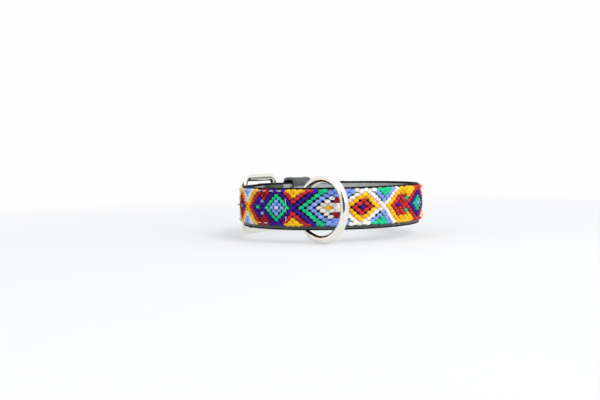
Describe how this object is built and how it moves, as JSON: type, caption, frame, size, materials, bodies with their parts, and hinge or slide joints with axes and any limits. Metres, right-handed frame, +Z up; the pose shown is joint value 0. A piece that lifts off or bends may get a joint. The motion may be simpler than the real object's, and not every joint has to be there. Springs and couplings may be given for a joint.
{
  "type": "dog collar",
  "caption": "Lined leather buckle collar closed in a loop, with a knotted diamond band sewn on the outside, a loose round ring, a prong buckle and a leather keeper.",
  "frame": {"origin": "under the middle of the part's box, on the floor that the collar stands on", "axes": "+Z up along the strap's width; the loop's front, with the ring, faces -Y; +X to the right seen from the front"},
  "size_m": [0.1208, 0.1336, 0.041],
  "materials": {
    "black_leather": "smooth semi-matt finished leather, fine grain",
    "grey_lining": "matt, slightly napped lining leather",
    "knotted_cotton": "hand-knotted cotton in nested diamonds of many colours",
    "white_thread": "twisted waxed thread",
    "dark_thread": "twisted waxed thread",
    "nickel": "polished nickel plate"
  },
  "bodies": {
    "strap": {"strap_leather": "black_leather", "strap_lining": "grey_lining", "knotted_band": "knotted_cotton", "seam_right": "white_thread", "seam_front": "white_thread", "seam_left": "white_thread", "fold_seam_near": "dark_thread", "fold_seam_far": "dark_thread"},
    "ring": {"ring": "nickel"},
    "keeper": {"keeper": "black_leather"},
    "buckle": {"buckle_frame": "nickel"},
    "prong": {"buckle_prong": "nickel"}
  },
  "joints": [
    {"name": "ring_travel", "type": "hinge", "parent": "strap", "child": "ring", "pos_m": [0.00136, 0.00458, 0.0205], "axis": [0, 0, 1], "range_deg": [-75, 145]},
    {"name": "keeper_slide", "type": "hinge", "parent": "strap", "child": "keeper", "pos_m": [0.00136, 0.00458, 0.0205], "axis": [0, 0, 1], "range_deg": [-28, 0]},
    {"name": "buckle_swing", "type": "hinge", "parent": "strap", "child": "buckle", "pos_m": [-0.0367, 0.04567, 0.0205], "axis": [0, 0, -1], "range_deg": [0, 3]},
    {"name": "prong_lift", "type": "hinge", "parent": "buckle", "child": "prong", "pos_m": [-0.0367, 0.04567, 0.0205], "axis": [0, 0, -1], "range_deg": [0, 5]}
  ]
}
